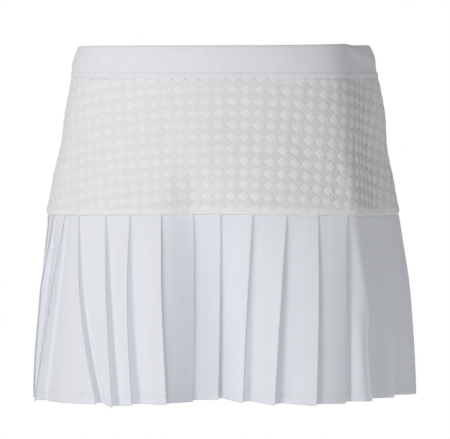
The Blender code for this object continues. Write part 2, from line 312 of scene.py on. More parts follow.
# Soft unevenness of the dye and the light through the cloth, then the knit's relief
def knitMaterial(name, look):
    material, shader = newMaterial(name, look["colour"], look["roughness"], look["sheen"])
    cloth = addNode(material, "UVMap", uv_map="cloth")
    streakScale = (look["streaks"], look["streaks"] * knit["streakWidth"], 1)
    streakMap = addNode(material, "Mapping", {"Scale": streakScale})
    streaks = addNode(material, "TexNoise", {"Scale": 1.0, "Detail": 3.0, "Roughness": 0.6})
    join(material, cloth, "UV", streakMap, "Vector")
    join(material, streakMap, "Vector", streaks, "Vector")
    ramp = addNode(material, "ValToRGB")
    low, high = look["tones"]
    ramp.color_ramp.elements[0].position = 0.3
    ramp.color_ramp.elements[1].position = 0.7
    ramp.color_ramp.elements[0].color = (*(value * low for value in look["colour"]), 1)
    ramp.color_ramp.elements[1].color = (*(value * high for value in look["colour"]), 1)
    join(material, streaks, "Fac", ramp, "Fac")
    join(material, ramp, "Color", shader, "Base Color")
    wales = knitWaves(material, look["wale"], 0.6, "X")
    courses = knitWaves(material, look["course"], 0.8, "Y")
    fuzz = addNode(material, "TexNoise", {"Scale": knit["fuzz"], "Detail": 2.0})
    for texture in (wales, courses, fuzz):
        join(material, cloth, "UV", texture, "Vector")
    rows = addNode(material, "Math", {1: look["courseShare"]}, operation="MULTIPLY")
    join(material, courses, "Fac", rows, 0)
    relief = addNode(material, "Math", operation="ADD")
    join(material, wales, "Fac", relief, 0)
    join(material, rows, "Value", relief, 1)
    rough = addNode(material, "Math", {1: knit["fuzzShare"]}, operation="MULTIPLY")
    join(material, fuzz, "Fac", rough, 0)
    height = addNode(material, "Math", operation="ADD")
    join(material, relief, "Value", height, 0)
    join(material, rough, "Value", height, 1)
    bump = addNode(material, "Bump", {"Strength": look["bump"], "Distance": look["relief"] * mm})
    join(material, height, "Value", bump, "Height")
    join(material, bump, "Normal", shader, "Normal")
    return material


bandLook = {"colour": (0.784, 0.781, 0.827), "roughness": 0.72, "sheen": 0.25, "streaks": 420.0,
            "tones": (0.975, 1.02), "wale": 1.25, "course": 0.9, "courseShare": 0.35,
            "bump": 0.5, "relief": 0.12}
pleatLook = {"colour": (0.77, 0.784, 0.834), "roughness": 0.68, "sheen": 0.2, "streaks": 160.0,
             "tones": (0.985, 1.015), "wale": 0.8, "course": 0.7, "courseShare": 0.4,
             "bump": 0.3, "relief": 0.05}
shortsLook = {"colour": (0.77, 0.775, 0.79), "roughness": 0.75, "sheen": 0.2, "streaks": 140.0,
              "tones": (0.98, 1.015), "wale": 0.9, "course": 0.8, "courseShare": 0.4,
              "bump": 0.35, "relief": 0.07}
netLook = {"colour": (0.835, 0.827, 0.831), "roughness": 0.7, "sheen": 0.3, "streaks": 500.0,
           "tones": (0.97, 1.02), "wale": 0.8, "course": 0.8, "courseShare": 1.0,
           "bump": 0.5, "relief": 0.12}
# The yoke's ground is darker than its net: partly the sheer ground's own tone, partly painted shade
# for the openings between the rosettes and cords
groundLook = {"colour": (0.787, 0.779, 0.783), "roughness": 0.8, "sheen": 0.2, "streaks": 300.0,
              "tones": (0.98, 1.015), "wale": 1.0, "course": 1.0, "courseShare": 1.0,
              "bump": 0.5, "relief": 0.1}
bandCloth = knitMaterial("bandKnit", bandLook)
pleatCloth = knitMaterial("pleatJersey", pleatLook)
shortsCloth = knitMaterial("shortsJersey", shortsLook)
netCloth = knitMaterial("netThread", netLook)
groundCloth = knitMaterial("yokeGround", groundLook)


# Over the seam allowance, which lies behind the yoke's lower edge, the ground is as light as its
# net: the painted shade in the ground's darker colour is taken off there. A colour mix has its share
# at socket 0, its colours at 6 and 7 and its result at 2
def liftGroundShadeAtAllowance(material, colour):
    shader = material.node_tree.nodes["Principled BSDF"]
    before = shader.inputs["Base Color"].links[0].from_node
    mark = addNode(material, "Attribute", attribute_name="mark")
    lighter = addNode(material, "Mix", data_type="RGBA")
    lighter.inputs[7].default_value = (*colour, 1)
    join(material, mark, "Fac", lighter, 0)
    join(material, before, "Color", lighter, 6)
    join(material, lighter, 2, shader, "Base Color")


liftGroundShadeAtAllowance(groundCloth, netLook["colour"])
print("skort: materials ready")

# Pleated skirt. The same folds as in the solids, for the front from right to left: angles at the
# yoke seam, halfway down and at the hem, then in mm at the hem how far a fold lies in, its rise,
# the room under its edge, how much of the next panel's slope shows, the depth of the valley where
# that slope ends, and how far the panel bellies out. Folds sink, part and belly out by powers of
# the way down, and the cloth is longer than its drop by its slant and the top tucked in
skirt = {"wall": 0.36, "hemWall": 0.55, "topTuck": 4.0, "tuck": 0.4, "topShown": 1.2, "clear": 5.0,
         "plyRoom": 0.04, "tuckRoom": 0.06, "valleyRoom": 0.1, "valleyRise": 1.5, "opens": 0.62,
         "parts": 0.6, "thickens": 5, "tuckNarrows": 0.25, "bellies": 0.75, "belowYoke": 0.2,
         "tuckedIn": 1.0, "tuckedOver": 1.6, "hemDepth": 10.5, "stitchRows": (7.2, 10.0),
         "groove": 0.3, "grooveSpread": 0.6, "longer": 4.0}
pleatDrop = seam["skirtLength"] - seam["yokeBottom"]
Pleat = namedtuple("Pleat", "seam middle hem sink rise slot shown valley belly")
frontPleats = (
    Pleat(-72.8, -82.0, -94.0, 0, -1.0, 1.5, 3.0, 9.0, 0.9),
    Pleat(-63.0, -68.8, -79.0, 0, -2.5, 0.5, 4.6, 10.0, 1.6),
    Pleat(-53.7, -48.8, -40.6, 0, 1.0, 0.1, 3.1, 5.6, 0.9),
    Pleat(-40.9, -37.8, -34.6, 0, -1.5, 0.1, 4.5, 6.5, 0.9),
    Pleat(-31.2, -30.4, -27.8, 1, 1.0, 0.1, 6.1, 7.2, 0.6),
    Pleat(-20.2, -18.8, -16.8, 0, 2.3, 2.5, 5.0, 4.0, 0.3),
    Pleat(-10.0, -9.8, -10.4, 27, 3.2, 0.3, 4.0, 2.0, 0.2),
    Pleat(-0.9, -1.2, -1.8, 30, 4.6, 0.2, 4.5, 4.5, 0.5),
    Pleat(9.4, 7.4, 6.1, 16, 3.2, 0.2, 8.8, 6.5, 0.8),
    Pleat(20.4, 17.5, 15.4, 5, 1.7, 0.3, 9.6, 7.5, 0.8),
    Pleat(31.2, 29.9, 28.1, 0, 0.7, 0.5, 5.0, 3.5, 0.8),
    Pleat(43.0, 41.6, 40.5, 10, 1.0, 0.5, 7.0, 3.0, 3.2),
    Pleat(65.1, 53.0, 52.4, 5, 2.0, 1.5, 6.0, 7.0, 0.9),
    Pleat(82.2, 76.4, 68.4, 2, 3.0, 1.5, 6.0, 5.0, 0.9),
)
backPleat = {"first": 96.0, "count": 16, "step": 11.95, "uneven": (0.0, 0.9, -0.6, 0.4, -0.9),
             "swing": (-1.6, 1.1, 0.2, -0.9, 1.9, -0.4, 0.8), "halfway": 0.4, "follow": 3,
             "sink": (1, 0, 5, 0, 2, 0, 9, 1, 0), "rise": (2.5, 0.5, 1.5, -1.0, 0.0, 2.0, 1.0),
             "slot": (2.0, 1.2, 2.6, 1.6), "shown": (6.0, 8.0, 5.0, 9.0, 7.0),
             "valley": (3.6, 3.4, 4.2, 5.2, 3.0), "belly": (0.9, 0.6, 0.9, 0.3)}


def takeTurn(values, index):
    return values[index % len(values)]


# The back's pleats take turns through its lists, and near the end they lean as the front's first
def backPleats():
    pleats = []
    frontSwing = frontPleats[0].hem - frontPleats[0].seam
    for index in range(backPleat["count"]):
        start = backPleat["first"] + backPleat["step"] * index
        start += takeTurn(backPleat["uneven"], index)
        followed = ((index + 1) / backPleat["count"]) ** backPleat["follow"]
        swing = mix(takeTurn(backPleat["swing"], index), frontSwing, followed)
        rest = [takeTurn(backPleat[key], index) for key in Pleat._fields[3:]]
        pleats.append(Pleat(start, start + backPleat["halfway"] * swing, start + swing, *rest))
    return tuple(pleats)


pleats = frontPleats + backPleats()


# Angle of a fold at a share of the way down, on a curve through its three angles
def foldAngle(pleat, share):
    start = pleat.seam * (1 - share) * (1 - 2 * share)
    middle = pleat.middle * 4 * share * (1 - share)
    end = pleat.hem * share * (2 * share - 1)
    return radians(start + middle + end)


# Corners of the cloth's path at one level, (length round, depth, lift), with how much of each
# corner is rounded off before and after it
Corner = namedtuple("Corner", "at depth lift before after")


def pleatCorners(share, angles, lengths):
    wholeTurn = np.interp(2 * pi, angles, lengths)
    opened, parted = share ** skirt["opens"], share ** skirt["parts"]
    ply = mix(skirt["wall"], skirt["hemWall"], ease(share * skirt["thickens"]))
    out, back = 2 * ply + skirt["plyRoom"], skirt["tuckRoom"]
    folds = []
    for turn in (0, 1):
        for pleat in pleats if turn == 0 else pleats[:2]:
            at = float(np.interp(foldAngle(pleat, share), angles, lengths)) + turn * wholeTurn
            depth = pleat.sink * opened
            folds.append({
                "at": at, "depth": depth, "under": depth + out + back + pleat.slot * parted,
                "inner": at - mix(skirt["topTuck"], skirt["tuck"],
                                  ease(share / skirt["tuckNarrows"])),
                "shown": at + mix(skirt["topShown"], pleat.shown, parted),
                "valley": depth + out + back + skirt["valleyRoom"]
                          + (pleat.slot + pleat.valley) * parted,
                "lift": pleat.rise * share ** 2,
                "low": (pleat.rise + skirt["valleyRise"]) * share ** 2})
    slopes = []
    for before, fold in zip(folds, folds[1:]):
        fold["inner"] = max(fold["inner"], before["shown"] + skirt["clear"])
        slopes.append((before["valley"] - fold["depth"]) / (fold["at"] - before["shown"]))
    slopes.insert(0, slopes[len(pleats) - 1])
    corners = []
    for fold, after, slope in zip(folds, folds[1:], slopes):
        tuck = fold["at"] - fold["inner"]
        turned = fold["depth"] + out + slope * tuck
        run, free = fold["shown"] - fold["at"], after["at"] - fold["shown"]
        corners += [
            Corner(fold["at"], fold["depth"], fold["lift"], out / 2, out / 2),
            Corner(fold["at"], fold["depth"] + out, fold["lift"], out / 2, 0.3 * tuck),
            Corner(fold["inner"], turned, fold["low"], 0.3 * tuck, back / 2),
            Corner(fold["inner"], turned + back, fold["low"], back / 2, 0.2 * tuck),
            Corner(fold["at"] + 0.1 * run, fold["under"], fold["low"], 0.2 * tuck, 0.2 * run),
            Corner(fold["shown"], fold["valley"], fold["low"], 0.4 * run, 0.15 * free),
            Corner(mix(fold["shown"], after["at"], 0.5), mix(fold["valley"], after["depth"], 0.5),
                   mix(fold["low"], after["lift"], 0.5), 0.1 * free, 0.1 * free),
        ]
    return corners


# How many points round each of a pleat's corners, and along the straight run after it
arcSteps = (5, 5, 4, 4, 5, 9, 3)
runSteps = (0, 3, 0, 3, 2, 5, 7)
cornerCount = len(arcSteps)
tuckCorner, underCorner, valleyCorner = 3, 4, 5  # where these stand among a pleat's corners


# Points along the cloth's path from one corner to another, each of them rounded off
def roundedPath(corners, first, last):
    points = np.array([corner[:3] for corner in corners])
    path = []
    for index in range(first, last):
        here, before, after = points[index], points[index - 1], points[index + 1]
        back = (before - here) / np.linalg.norm((before - here)[:2])
        ahead = (after - here) / np.linalg.norm((after - here)[:2])
        start = here + back * corners[index].before
        end = here + ahead * corners[index].after
        t = np.linspace(0, 1, arcSteps[index % cornerCount])[:, None]
        path.append(start * (1 - t) ** 2 + here * 2 * t * (1 - t) + end * t ** 2)
        steps = runSteps[index % cornerCount]
        if steps:
            nextStart = after - ahead * corners[index + 1].before
            t = (np.arange(steps) + 1)[:, None] / (steps + 1)
            path.append(mix(end, nextStart, t))
    return np.vstack(path)


# One row of a skirt piece at a share of the way down: lengths round, depths and lifts, and angles.
# A piece starts and ends half the side seam's gap from the middle of a hidden tuck
def skirtPath(share, firstPleat, lastPleat):
    level = mix(seam["yokeBottom"], seam["skirtLength"], share)
    angles, lengths = girth(level)
    corners = pleatCorners(share, angles, lengths)

    def hidden(pleatIndex, sign):
        inner, under = (corners[pleatIndex * cornerCount + k] for k in (tuckCorner, underCorner))
        part = 0.5 + sign * seam["gap"] / 2 / hypot(under.at - inner.at, under.depth - inner.depth)
        return [mix(a, b, part) for a, b in zip(inner[:3], under[:3])]

    first, last = (pleatIndex * cornerCount + underCorner for pleatIndex in (firstPleat, lastPleat))
    path = roundedPath(corners, first, last)[:-runSteps[tuckCorner]]
    path = np.vstack([[hidden(firstPleat, 1)], path, [hidden(lastPleat, -1)]])
    # a panel's free stretch bows out a little between its valley and its fold
    for index in range(firstPleat, lastPleat):
        valley = corners[index * cornerCount + valleyCorner]
        fold = corners[(index + 1) * cornerCount]
        u = (path[:, 0] - valley.at) / (fold.at - valley.at)
        free = (u > 0) & (u < 1) & (path[:, 1] < mix(valley.depth, fold.depth, u) + 0.05)
        belly = pleats[index].belly * share ** skirt["bellies"]
        path[:, 1] -= np.where(free, belly * np.sin(pi * np.clip(u, 0, 1)) ** 2, 0)
    angle = np.interp(path[:, 0], lengths, angles)
    return path, angle


# The same row wrapped on the form: tucked in under the yoke's edge, with a groove at the stitches
def skirtPoints(share, firstPleat, lastPleat, proud=0.0):
    path, angle = skirtPath(max(share, 0.0), firstPleat, lastPleat)
    top = yokeSeam(angle) + skirt["belowYoke"]
    down = mix(top, seam["skirtLength"], share) - path[:, 2]
    tucked = skirt["tuckedIn"] * ease(1 - (down - top) / skirt["tuckedOver"])
    above = (1 - share) * pleatDrop
    groove = max(skirt["groove"] * (1 - abs(above - row) / skirt["grooveSpread"])
                 for row in skirt["stitchRows"])
    return formPoints(angle, down, path[:, 1] + tucked - proud + max(groove, 0.0)), path


# Rows down the skirt: close at the seam, even over the pleats, and close round the hem's stitches
hemRows = np.array([11.6, 10.6, 10.0, 9.4, 8.4, 7.8, 7.2, 6.6, 5.4, 3.0, 1.2, 0.0])
skirtShares = np.concatenate([[-0.013, -0.006, 0.0, 0.008, 0.02], np.linspace(0.045, 0.925, 34),
                              1 - hemRows / pleatDrop])


def makeSkirt(name, node, firstPleat, lastPleat):
    rows = [skirtPoints(share, firstPleat, lastPleat) for share in skirtShares]
    points = np.array([row[0] for row in rows])
    across = runAlong(rows[-1][1][:, :2])
    drop = skirtShares * pleatDrop
    flat = np.stack(np.broadcast_arrays(across[None, :], drop[:, None]), axis=-1)
    hem = ease(drop - (pleatDrop - skirt["hemDepth"]))
    thinned = mix(skirt["wall"] / skirt["hemWall"], 1.0, hem)
    piece = clothSheet(name, points, flat, skirt["hemWall"], thinned=thinned)
    finishPiece(piece, pleatCloth, (node,))
    return piece, across[-1] * mm, (pleatDrop + skirt["longer"]) * mm


sideSeam = len(frontPleats)
skirtFront, frontWidth, skirtDrop = makeSkirt("skirtFrontPleats", "skirt_front", 0, sideSeam)
skirtBack, backWidth, skirtDrop = makeSkirt("skirtBackPleats", "skirt_back", sideSeam, len(pleats))
print("skort: pleated skirt", round(frontWidth, 3), round(backWidth, 3))


# Columns of one half of the girth, from a side seam at start to the other. At the side seams a
# turn of one radian is as long as the form is deep from the middle to the front
def halfAngles(start, columns):
    halfGap = seam["gap"] / 2 / bodyLevels[1].front
    angles = start + np.linspace(0, pi, columns)
    angles[0] += halfGap
    angles[-1] -= halfGap
    return angles


# Yoke: a smooth ground with its lower edge turned in over the seam allowance
yoke = {"wall": 1.1, "inset": 0.35, "underBand": 0.3, "aboveSkirt": 0.1, "allowance": 5.8,
        "puff": 0.9, "turnedIn": 1.2, "fade": 1.5, "columns": 230, "rows": 32, "edgeRows": 12}


# How far the seam allowance behind swells the yoke out, by the distance above its lower edge
def allowanceSwell(fromEdge):
    return yoke["puff"] * np.sin(pi * np.clip(fromEdge / (2 * yoke["allowance"]), 0, 1)) ** 1.5


def makeYoke(name, node, start):
    angles = halfAngles(start, yoke["columns"])
    # rows are even down to the lower edge and close together round it
    shares = np.concatenate([np.linspace(0, 0.93, yoke["rows"]),
                             np.linspace(0.94, 1.0, yoke["edgeRows"])])
    top = seam["bandHeight"] - yoke["underBand"]
    bottom = yokeSeam(angles) - yoke["aboveSkirt"]
    down = mix(top, bottom[None, :], shares[:, None])
    fromEdge = bottom[None, :] - down
    turnedIn = yoke["turnedIn"] * np.clip(1 - fromEdge / yoke["turnedIn"], 0, 1) ** 2
    points = formPoints(angles[None, :], down, yoke["inset"] - allowanceSwell(fromEdge) + turnedIn)
    arc = np.array([np.interp(angles, *girth(level)) for level in (top, seam["yokeBottom"])])
    across = mix(arc[0][None, :], arc[1][None, :], shares[:, None])
    flat = np.stack([across, down], axis=-1)
    # how far the ground's painted shade is taken off, over the seam allowance near the lower edge
    marks = ease((yoke["allowance"] - fromEdge) / yoke["fade"] + 0.5)
    piece = clothSheet(name, points, flat, yoke["wall"], marks=marks)
    finishPiece(piece, groundCloth, (node,))
    return piece


yokeFront = makeYoke("yokeGroundFront", "yoke_front", -pi / 2)
yokeBack = makeYoke("yokeGroundBack", "yoke_back", pi / 2)
print("skort: yoke")

# Rosette net: laid out flat, cut to the yoke and wrapped on it. A column's pitch narrows from the
# level of the first row to that of the last, and rows dip at the sides as flat cloth round a
# flare does. Cut lines are in hundredths of the way from the middle to a side, and down the yoke
net = {"pitchTop": 12.8, "pitchBottom": 11.5, "rowPitch": 11.16, "firstRow": 40.6, "offset": -0.35,
       "columns": range(-22, 23), "rows": range(-4, 11), "narrowFrom": 40, "narrowOver": 112,
       "flare": 800.0, "quarter": 225, "clothHalf": 200, "margin": 15, "levels": 30, "angles": 181,
       "keepSide": 99.5, "keepTop": 0.5, "cutSide": 99.7, "cutBottom": 99.0,
       "reach": (6.0, 4.5, 3.75, 4.0, 5.05, 4.0, 3.75, 4.5), "dome": 0.55, "rim": 0.28,
       "shoulder": 0.93, "cord": 0.6, "cordHeight": 0.25, "cordApart": 2.9, "cordRun": 12.0,
       "cordCrossing": 0.03, "cordTucked": 1.6, "under": -0.6, "landing": 7.0}
# The net pads up from its ground unevenly round the waist: angle and how far
netLift = ((-180, 0.25), (-110, 0.25), (-75, 0.0), (-10, 0.0), (20, 0.5), (40, 0.6), (65, 0.45),
           (90, 0.3), (180, 0.25))


# Height of a rosette above the net's ground by how far out a point of it lies, from 0 to 1
def rosetteHeight(radius):
    if radius > 0.9:
        return net["rim"]
    return net["dome"] if radius < 0.1 else net["shoulder"] * net["dome"]


# One rosette and the four cords beside it, two of each slant
def netUnit():
    bpy.ops.mesh.primitive_cylinder_add(vertices=16, radius=1, depth=1, end_fill_type="TRIFAN")
    unit = bpy.context.object
    bpy.ops.object.mode_set(mode="EDIT")
    bpy.ops.mesh.select_all(action="DESELECT")
    bpy.ops.object.mode_set(mode="OBJECT")
    for face in unit.data.polygons:
        face.select = face.center.z > 0.49
    bpy.ops.object.mode_set(mode="EDIT")
    bpy.ops.mesh.inset(thickness=0.38, depth=0.0)
    bpy.ops.object.mode_set(mode="OBJECT")
    for vertex in unit.data.vertices:
        x, y, z = vertex.co
        radius = hypot(x, y)
        turn = atan2(y, x) % (2 * pi)
        edge = net["reach"][round(turn / (pi / 8)) % 8] if radius > 0.01 else 0.0
        height = net["under"] if z < 0 else rosetteHeight(radius)
        vertex.co = (edge * radius * cos(turn), edge * radius * sin(turn), height)
    cords = []
    for sign, aside in ((1, -0.5), (1, 0.5), (-1, -0.5), (-1, 0.5)):
        bpy.ops.mesh.primitive_cube_add(size=1)
        cord = bpy.context.object
        run = Vector((net["cordRun"], sign * net["rowPitch"], 0))
        length = run.length - 2 * net["reach"][2] + net["cordTucked"]
        middle = Vector((run.x / 2, net["rowPitch"] / 2, 0))
        direction = run.normalized()
        top = net["cordHeight"] + net["cordCrossing"] * sign
        for vertex in cord.data.vertices:
            along = vertex.co.x * length
            side = vertex.co.y * net["cord"] + aside * net["cordApart"]
            height = top if vertex.co.z > 0 else net["under"]
            spot = middle + direction * along + Vector((-direction.y, direction.x, 0)) * side
            vertex.co = (spot.x, spot.y, height)
        cords.append(cord)
    bpy.ops.object.select_all(action="DESELECT")
    for part in (*cords, unit):
        part.select_set(True)
    bpy.context.view_layer.objects.active = unit
    bpy.ops.object.join()
    return unit


def makeNet(name, start, middle):
    unit = netUnit()
    cell = np.array([vertex.co for vertex in unit.data.vertices]) * (1, -1, 1)
    pitch = (net["pitchTop"] + net["pitchBottom"]) / 2
    flat = np.array([cell + (pitch * (column + net["offset"]), 0, 0)
                     + (0, net["firstRow"], 0) + (0, net["rowPitch"] * row, 0)
                     for column in net["columns"] for row in net["rows"]])
    # wrap: distance from the flare's apex gives the level, and the turn about it the way round
    fromApex = np.hypot(flat[..., 0], net["flare"] + flat[..., 1])
    down = fromApex - net["flare"]
    top, bottom = seam["bandHeight"], seam["yokeBottom"]
    narrowed = (down - net["narrowFrom"]) / net["narrowOver"]
    stretch = mix(net["pitchTop"], net["pitchBottom"], narrowed) / pitch
    around = np.arctan2(flat[..., 0], net["flare"] + flat[..., 1]) * fromApex * stretch
    levels = np.linspace(top - net["margin"], bottom + net["margin"], net["levels"])
    tables = [girth(level) for level in levels]
    halfLength = [float(np.interp(start + pi, *table)) - float(np.interp(middle, *table))
                  for table in tables]
    dip = seam["sideDip"] * (np.abs(around) / net["quarter"]) ** 2
    share = (down - top) / (bottom + dip - top)
    half = np.interp(down, levels, halfLength)
    laid = np.stack([around / half * 100, share * 100, flat[..., 2]], axis=-1)
    # only copies that reach inside the cut lines are kept
    inWidth = np.abs(laid[..., 0]).min(axis=1) < net["keepSide"]
    belowTop = laid[..., 1].max(axis=1) > net["keepTop"]
    aboveBottom = laid[..., 1].min(axis=1) < net["cutBottom"]
    piece = joinedCopies(name, unit, laid[inWidth & belowTop & aboveBottom] / mm)
    trimPiece(piece, (((-net["cutSide"], 0, 0), (-1, 0, 0)), ((net["cutSide"], 0, 0), (1, 0, 0)),
                      ((0, 0, 0), (0, -1, 0)), ((0, net["cutBottom"], 0), (0, 1, 0))))
    mesh = piece.data
    spots = np.empty(len(mesh.vertices) * 3)
    mesh.vertices.foreach_get("co", spots)
    spots = spots.reshape(-1, 3)
    # each point's share of the way round and down gives its angle and level on the form
    angles = halfAngles(start, net["angles"])
    arcs = np.array([np.interp(angles, *table) for table in tables])
    down = top + spots[:, 1] / 100 * (bottom - top)
    fraction = (spots[:, 0] / 100 + 1) / 2
    row = (down - levels[0]) / (levels[1] - levels[0])
    low = np.clip(row.astype(int), 0, len(levels) - 2)
    angle = np.empty(len(spots))
    for index in range(len(spots)):
        arc = mix(arcs[low[index]], arcs[low[index] + 1], row[index] - low[index])
        angle[index] = np.interp(mix(arc[0], arc[-1], fraction[index]), arc, angles)
    down = top + spots[:, 1] / 100 * (yokeSeam(angle) - top)
    fromEdge = yokeSeam(angle) - down
    # it lies flat again at the waistband and at the seam allowance
    inside = np.minimum(down - top, fromEdge - yoke["allowance"])
    lift = np.interp(turnedFrom(np.degrees(angle)), *zip(*netLift)) * ease(inside / net["landing"])
    depth = yoke["inset"] - allowanceSwell(fromEdge) - spots[:, 2] - lift
    mesh.vertices.foreach_set("co", (formPoints(angle, down, depth) * mm).ravel())
    across = mix(-net["clothHalf"], net["clothHalf"], fraction)
    layCloth(mesh, np.stack([across, down], axis=-1))
    mesh.update()
    finishPiece(piece, netCloth, sharpAngle=50)
    return piece


netFront = makeNet("yokeNetFront", -pi / 2, 0.0)
netBack = makeNet("yokeNetBack", pi / 2, pi)
print("skort: rosette net", len(netFront.data.polygons), len(netBack.data.polygons))

# Waistband: folded knit over elastic, its lower edge turned below a soft groove. Its outside is
# listed from the groove up over the top, as level and depth inside the form
band = {"columns": 260, "middle": 15, "riseFade": 16, "rimDepth": 1.6, "rimSoft": 1.2}
Point = namedtuple("Point", "down depth")
bandProfile = (
    Point(30.5, 1.9), Point(30.7, 1.0), Point(30.6, 0.2), Point(30.2, -0.3), Point(29.4, -0.65),
    Point(28.0, -0.85), Point(26.9, -0.75), Point(26.0, -0.55), Point(25.4, -0.3),
    Point(24.9, -0.15), Point(24.3, -0.12), Point(23.4, -0.15), Point(21.5, -0.2),
    Point(17.5, -0.3), Point(13.0, -0.3), Point(8.5, -0.2), Point(4.5, -0.05),
    Point(2.4, 0.1), Point(1.2, 0.35), Point(0.4, 0.8),
    Point(0.05, 1.4), Point(0.3, 2.1), Point(1.0, 2.6), Point(2.4, 2.8), Point(6.0, 2.9),
    Point(12.0, 2.9), Point(18.0, 2.9), Point(23.5, 2.9), Point(25.0, 3.1), Point(27.0, 3.0),
    Point(29.0, 2.9), Point(30.2, 2.5),
)
# The top edge stands a little uneven round the waist: angle and rise
topEdge = ((-180, -1.4), (-120, -1.6), (-95, -1.2), (-80, -0.6), (-55, 0.1), (-20, 0.3),
           (15, 0.6), (42, 1.4), (55, 2.0), (64, 0.4), (74, 0.6), (86, 0.6), (96, -0.6),
           (130, -1.5), (180, -1.4))
# Soft slanted folds in the band: angle and level of the middle, half length, half width, slant in
# mm down for each degree, and depth, minus for a ridge
Slant = namedtuple("Slant", "angle down halfLength halfWidth slant depth")
slants = (
    Slant(90, 11.0, 30, 12.0, 0.0, -1.7),
    Slant(-90, 19.0, 30, 10.0, 0.0, -1.3),
    Slant(-90, 1.0, 25, 9.0, 0.0, 1.6),
    Slant(66, 6.0, 16, 5.0, 0.42, -1.4),
    Slant(62, 13.0, 14, 6.0, 0.42, 1.2),
    Slant(-56, 12.0, 18, 5.0, -0.25, -0.7),
    Slant(-64, 7.0, 14, 4.0, 0.1, 0.4),
    Slant(118, 11.0, 16, 6.0, 0.3, 0.5),
    Slant(205, 12.0, 20, 6.0, -0.25, 0.45),
    Slant(250, 9.0, 15, 5.0, 0.3, -0.4),
)


def slantDepth(angle, down):
    depth = 0.0
    for fold in slants:
        away = turnedFrom(np.degrees(angle), fold.angle)
        off = down - fold.down - fold.slant * away
        inside = (np.abs(away) < fold.halfLength) & (np.abs(off) < fold.halfWidth)
        crosswise = np.cos(pi / 2 * off / fold.halfWidth) ** 2
        shape = np.cos(pi / 2 * away / fold.halfLength) ** 2 * crosswise
        depth = depth + np.where(inside, fold.depth * shape, 0.0)
    return depth


# A ring of points for each column, joined to the next column's, with both ends closed
def makeBand(name, node, start):
    angles = halfAngles(start, band["columns"])[:, None]
    profile = np.array(bandProfile)
    down, depth = profile.T[:, None]
    rise = np.interp(turnedFrom(np.degrees(angles)), *zip(*topEdge))
    rise = rise * ease(1 - down / band["riseFade"])
    outside = ease((band["rimDepth"] - depth) / band["rimSoft"])
    level = down - rise
    points = formPoints(angles, level, depth + slantDepth(angles, level) * outside)
    count = len(bandProfile)
    last = (band["columns"] - 1) * count
    faces = [(first + a, first + (a + 1) % count, first + count + (a + 1) % count, first + count + a)
             for first in range(0, last, count) for a in range(count)]
    faces += [tuple(range(count)), tuple(reversed(range(last, last + count)))]
    piece = pieceFrom(name, points, faces)
    arc = np.interp(angles, *girth(band["middle"]))
    along = runAlong(profile)
    layCloth(piece.data, np.stack(np.broadcast_arrays(arc, along[None, :]), axis=-1))
    trimPiece(piece)
    finishPiece(piece, bandCloth, (node,), sharpAngle=60)
    return piece


bandFront = makeBand("waistbandFront", "waistband_front", -pi / 2)
bandBack = makeBand("waistbandBack", "waistband_back", pi / 2)
print("skort: waistband")

# Inner shorts: two leg panels, joined down the rise at the front and back, then each leg's own
# inside seam. Insets are from the worn form; a leg's ring is its middle, half width and half depth
Inset = namedtuple("Inset", "down depth")
shortsInset = (Inset(31, 1.6), Inset(64, 2.6), Inset(128, 3.6), Inset(163, 5.2), Inset(192, 10.0),
               Inset(245, 18.0), Inset(305, 24.0))
Leg = namedtuple("Leg", "down middle halfWidth halfDepth")
legLevels = (Leg(150, 80, 79.8, 96), Leg(245, 79.4, 79.2, 93), Leg(275, 79.8, 75.5, 88),
             Leg(305, 80.5, 72.0, 84))
shorts = {"wall": 0.7, "hemWall": 1.1, "top": 30.9, "crotchStart": 150.0, "crotch": 245.0,
          "length": 305.0, "follow": 0.45, "columns": 110, "hem": 12.0, "stitchRows": (8.0, 11.0),
          "measuredRow": 20}


# One leg's ring at a level: it follows the waist and hips above, and parts into a leg below
def shortsRing(down, side):
    rise = shorts["crotch"] - shorts["crotchStart"]
    fall = min(max((down - shorts["crotchStart"]) / rise, 0), 1)
    share = 1 - (1 - fall ** 2) ** 0.5
    angle = np.linspace(0, pi, shorts["columns"])
    inset = float(smoothRead(shortsInset, down, "depth"))
    downs, *columns = zip(*legLevels)
    middle, halfWidth, halfDepth = (float(np.interp(down, downs, column)) for column in columns)
    torso = formPoints(side * angle, down, inset)[:, :2] * (side, 1)
    drawn = shorts["follow"] * pushedIn(side * angle, np.full(angle.shape, down))
    leg = np.stack([middle - (halfWidth - drawn) * np.cos(2 * angle),
                    -(halfDepth - drawn) * np.sin(2 * angle)], axis=-1)
    path = mix(torso, leg, share)
    path[:, 0] = np.maximum(path[:, 0], seam["gap"] / 2)
    path[0, 1] -= seam["gap"] / 2 * share
    path[-1, 1] += seam["gap"] / 2 * share
    points = np.column_stack([side * path[:, 0], path[:, 1], np.full(len(path), -down)])
    return points if side > 0 else points[::-1]


def makeShorts(name, node, side):
    start, crotch, end = shorts["crotchStart"], shorts["crotch"], shorts["length"]
    # rows close up towards the crotch and again at the hem
    rise = start + (crotch - start) * np.sin(pi / 2 * np.linspace(0, 1, 30))
    levels = np.concatenate([np.linspace(shorts["top"], start - 3, 26), rise,
                             np.linspace(crotch + 2, end - 2, 20), [end - 0.7, end]])
    points = np.array([shortsRing(level, side) for level in levels])
    across = runAlong(points[shorts["measuredRow"]])
    flat = np.stack(np.broadcast_arrays(across[None, :], levels[:, None]), axis=-1)
    hem = ease(levels - (end - shorts["hem"]))
    thinned = mix(shorts["wall"] / shorts["hemWall"], 1.0, hem)
    piece = clothSheet(name, points, flat, shorts["hemWall"], thinned=thinned)
    finishPiece(piece, shortsCloth, (node,))
    return piece


shortsLeft = makeShorts("shortsLeftLeg", "shorts_left", 1)
shortsRight = makeShorts("shortsRightLeg", "shorts_right", -1)
print("skort: shorts")

